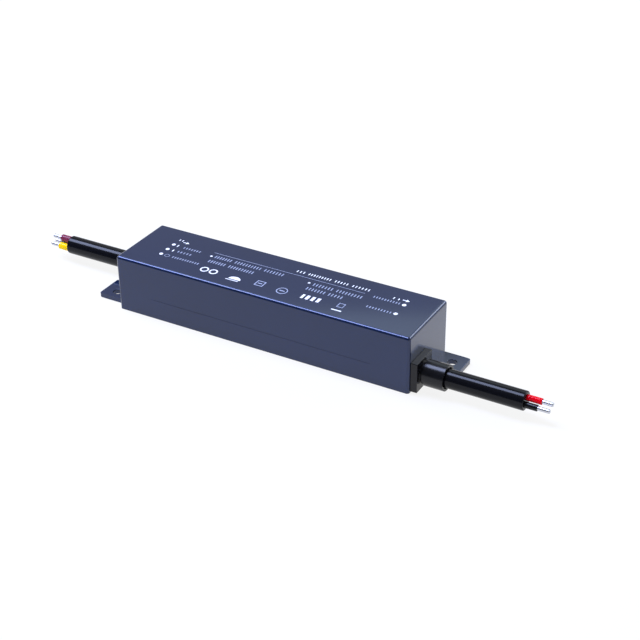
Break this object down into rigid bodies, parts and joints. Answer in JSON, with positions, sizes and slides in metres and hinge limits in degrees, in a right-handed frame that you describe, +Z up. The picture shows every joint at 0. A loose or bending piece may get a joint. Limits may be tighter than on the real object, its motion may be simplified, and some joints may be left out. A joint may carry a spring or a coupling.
{
  "type": "waterproof power supply",
  "caption": "Slim sealed power supply in a cast metal housing, with a corner ear and a glanded cable stub with stripped leads at each end.",
  "frame": {"origin": "middle of the housing's underside, on the mounting surface", "axes": "+X towards the output cable, +Y to the rear long side, +Z up out of the mounting surface"},
  "size_m": [0.297, 0.04, 0.03],
  "materials": {
    "housing": "satin blue-grey paint",
    "plate_metal": "plain aluminium sheet",
    "screw_steel": "zinc-plated steel",
    "gland_plastic": "moulded, fine grain",
    "nut_metal": "nickel-plated brass",
    "seal_rubber": "matt",
    "cable_jacket": "smooth, slightly glossy",
    "core_red": "glossy",
    "core_black": "glossy",
    "core_brown": "glossy",
    "core_blue": "glossy",
    "core_yellow": "glossy",
    "tinned_copper": "tinned strands",
    "insulation_film": "clear film",
    "spacer_nylon": "natural",
    "potting": "cast compound",
    "board_laminate": "solder mask",
    "ferrite": "fired ferrite",
    "copper_winding": "enamelled wire",
    "bobbin_plastic": "moulded",
    "capacitor_sleeve": "shrink sleeve",
    "film_capacitor_box": "moulded box",
    "device_moulding": "moulded",
    "fuse_moulding": "moulded",
    "disc_coating": "dipped coating",
    "thermal_pad": "silicone pad"
  },
  "bodies": {
    "root": {"housing": "housing", "base_plate": "plate_metal", "base_plate_screws": "screw_steel", "insulation_sheet": "insulation_film", "board_spacers": "spacer_nylon", "output_gland": "gland_plastic", "output_seal_ring": "seal_rubber", "output_lock_nut": "nut_metal", "output_cable_jacket": "cable_jacket", "output_core_red": "core_red", "output_conductor_red": "tinned_copper", "output_core_black": "core_black", "output_conductor_black": "tinned_copper", "input_gland": "gland_plastic", "input_seal_ring": "seal_rubber", "input_lock_nut": "nut_metal", "input_cable_jacket": "cable_jacket", "input_core_brown": "core_brown", "input_conductor_brown": "tinned_copper", "input_core_blue": "core_blue", "input_conductor_blue": "tinned_copper", "input_core_yellow": "core_yellow", "input_conductor_yellow": "tinned_copper", "circuit_board": "board_laminate", "transformer_core": "ferrite", "transformer_bobbin": "bobbin_plastic", "transformer_winding": "copper_winding", "bulk_capacitor": "capacitor_sleeve", "choke_core": "ferrite", "choke_windings": "copper_winding", "filter_capacitor": "film_capacitor_box", "switching_transistor": "device_moulding", "transistor_thermal_pad": "thermal_pad", "bridge_rectifier": "device_moulding", "surge_varistor": "disc_coating", "input_fuse": "fuse_moulding", "output_capacitor_1": "capacitor_sleeve", "output_capacitor_2": "capacitor_sleeve", "output_rectifier": "device_moulding", "rectifier_thermal_pad": "thermal_pad", "inductor_core": "ferrite", "inductor_winding": "copper_winding", "safety_capacitor": "disc_coating", "optocoupler": "device_moulding", "controller_chip": "device_moulding", "potting_compound": "potting"}
  },
  "joints": []
}
